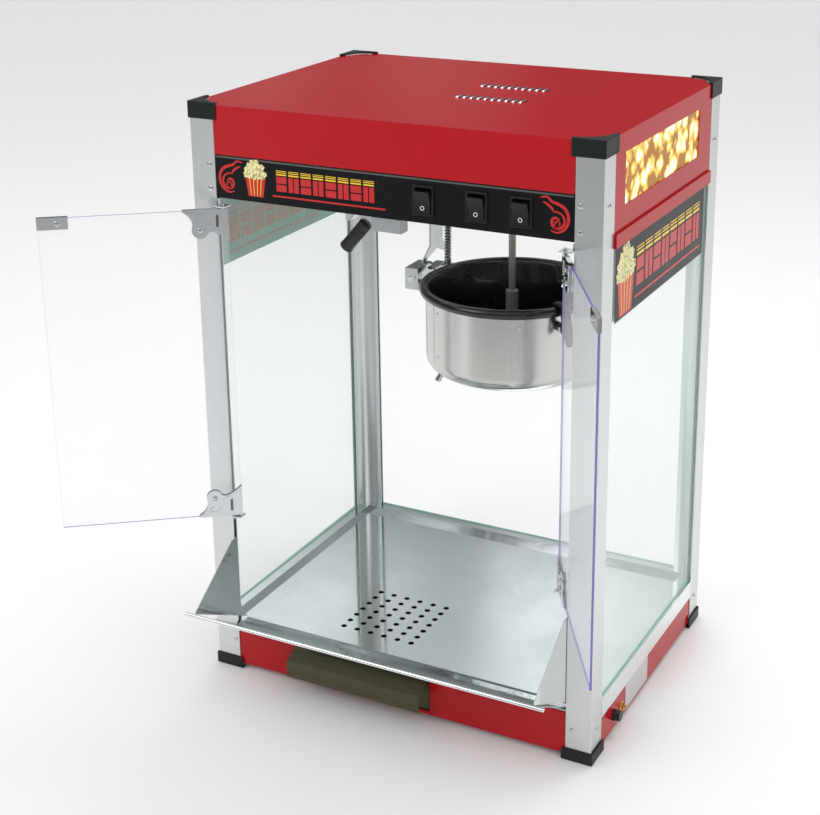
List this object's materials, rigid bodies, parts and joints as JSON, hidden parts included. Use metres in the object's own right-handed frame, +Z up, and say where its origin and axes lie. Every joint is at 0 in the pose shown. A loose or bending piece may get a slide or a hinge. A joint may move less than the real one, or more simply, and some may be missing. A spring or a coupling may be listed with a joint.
{
  "type": "popcorn maker",
  "caption": "Countertop popcorn maker: glazed cabinet on corner posts with swinging doors, a tipping kettle with a driven stirrer, a perforated deck and a drawer.",
  "frame": {"origin": "middle of the bounding box of the machine as it stands with its doors open, on the floor under its feet", "axes": "+Z up, -Y towards the front where the doors and the drawer are, +X to the right as seen from the front"},
  "size_m": [0.7808, 0.626, 0.8023],
  "materials": {
    "aluminium_profile": "satin anodised extrusion",
    "black_moulding": "fine moulded grain",
    "black_switch": "satin black",
    "red_enamel": "gloss red enamel",
    "picture_film": "translucent printed picture of popped corn",
    "printed_fascia": "gloss black with red and yellow ornament",
    "clear_glass": "clear with a faint green tint",
    "door_plastic": "clear with violet edges",
    "polished_steel": "polished stainless steel",
    "galvanised_steel": "spangled zinc",
    "brushed_steel": "brushed stainless steel",
    "chrome_plate": "bright chrome",
    "black_coating": "semi-gloss non-stick coating",
    "black_grip": "black moulded grip"
  },
  "bodies": {
    "cabinet": {"back_glass": "clear_glass", "base_floor": "galvanised_steel", "base_shell": "red_enamel", "cap_back_left": "black_moulding", "cap_back_right": "black_moulding", "cap_front_left": "black_moulding", "cap_front_right": "black_moulding", "ceiling_panel": "polished_steel", "cord_gland": "black_grip", "deck_tray": "polished_steel", "fascia_panel": "printed_fascia", "foot_back_left": "black_moulding", "foot_back_right": "black_moulding", "foot_front_left": "black_moulding", "foot_front_right": "black_moulding", "front_lip": "polished_steel", "gear_motor": "galvanised_steel", "guard_wing_left": "polished_steel", "guard_wing_right": "polished_steel", "hinge_bracket_left_bottom": "chrome_plate", "hinge_bracket_left_top": "chrome_plate", "hinge_bracket_right_bottom": "chrome_plate", "hinge_bracket_right_top": "chrome_plate", "hood_cover": "red_enamel", "hood_picture_left": "picture_film", "hood_picture_right": "picture_film", "kettle_hanger_left": "chrome_plate", "kettle_hanger_right": "chrome_plate", "kettle_lead": "chrome_plate", "lamp_bracket": "polished_steel", "lamp_holder": "black_grip", "magnet_catch": "brushed_steel", "post_back_left": "aluminium_profile", "post_back_right": "aluminium_profile", "post_front_left": "aluminium_profile", "post_front_right": "aluminium_profile", "side_glass_left": "clear_glass", "side_glass_right": "clear_glass", "switch_housing_left": "black_switch", "switch_housing_middle": "black_switch", "switch_housing_right": "black_switch", "warming_element": "galvanised_steel"},
    "left_door": {"door_pane_left": "door_plastic", "hinge_clamp_left_top": "chrome_plate", "hinge_clamp_left_bottom": "chrome_plate", "catch_plate_left": "chrome_plate"},
    "right_door": {"door_pane_right": "door_plastic", "hinge_clamp_right_top": "chrome_plate", "hinge_clamp_right_bottom": "chrome_plate", "catch_plate_right": "chrome_plate"},
    "kettle": {"kettle_shell": "brushed_steel", "kettle_pan": "black_coating", "kettle_heater": "brushed_steel", "kettle_handle": "black_grip"},
    "stirrer": {"stirrer": "brushed_steel"},
    "drive": {"drive_shaft": "brushed_steel"},
    "drawer": {"drawer": "brushed_steel"},
    "rocker_left": {"switch_rocker_left": "black_switch"},
    "rocker_middle": {"switch_rocker_middle": "black_switch"},
    "rocker_right": {"switch_rocker_right": "black_switch"}
  },
  "joints": [
    {"name": "left_door_hinge", "type": "hinge", "parent": "cabinet", "child": "left_door", "pos_m": [-0.20225, -0.11145, 0.45], "axis": [0, 0, 1], "range_deg": [-12, 143]},
    {"name": "right_door_hinge", "type": "hinge", "parent": "cabinet", "child": "right_door", "pos_m": [0.26775, -0.11145, 0.45], "axis": [0, 0, -1], "range_deg": [-34, 121]},
    {"name": "kettle_tilt", "type": "hinge", "parent": "cabinet", "child": "kettle", "pos_m": [0.09975, 0.11454, 0.526], "axis": [1, 0, 0], "range_deg": [0, 75]},
    {"name": "drive_spin", "type": "hinge", "parent": "cabinet", "child": "drive", "pos_m": [0.09975, 0.11454, 0.6], "axis": [0, 0, 1], "continuous": true},
    {"name": "stirrer_spin", "type": "hinge", "parent": "kettle", "child": "stirrer", "pos_m": [0.09975, 0.11454, 0.445], "axis": [0, 0, 1], "continuous": true},
    {"name": "drawer_slide", "type": "slide", "parent": "cabinet", "child": "drawer", "axis": [0, -1, 0], "range_m": [0, 0.17]},
    {"name": "rocker_left_tip", "type": "hinge", "parent": "cabinet", "child": "rocker_left", "pos_m": [0.08475, -0.10755, 0.708], "axis": [-1, 0, 0], "range_deg": [0, 20]},
    {"name": "rocker_middle_tip", "type": "hinge", "parent": "cabinet", "child": "rocker_middle", "pos_m": [0.15475, -0.10755, 0.708], "axis": [-1, 0, 0], "range_deg": [0, 20]},
    {"name": "rocker_right_tip", "type": "hinge", "parent": "cabinet", "child": "rocker_right", "pos_m": [0.21175, -0.10755, 0.708], "axis": [-1, 0, 0], "range_deg": [0, 20]}
  ],
  "couplings": [
    {"joint": "stirrer_spin", "follows": "drive_spin", "ratio": 1}
  ]
}
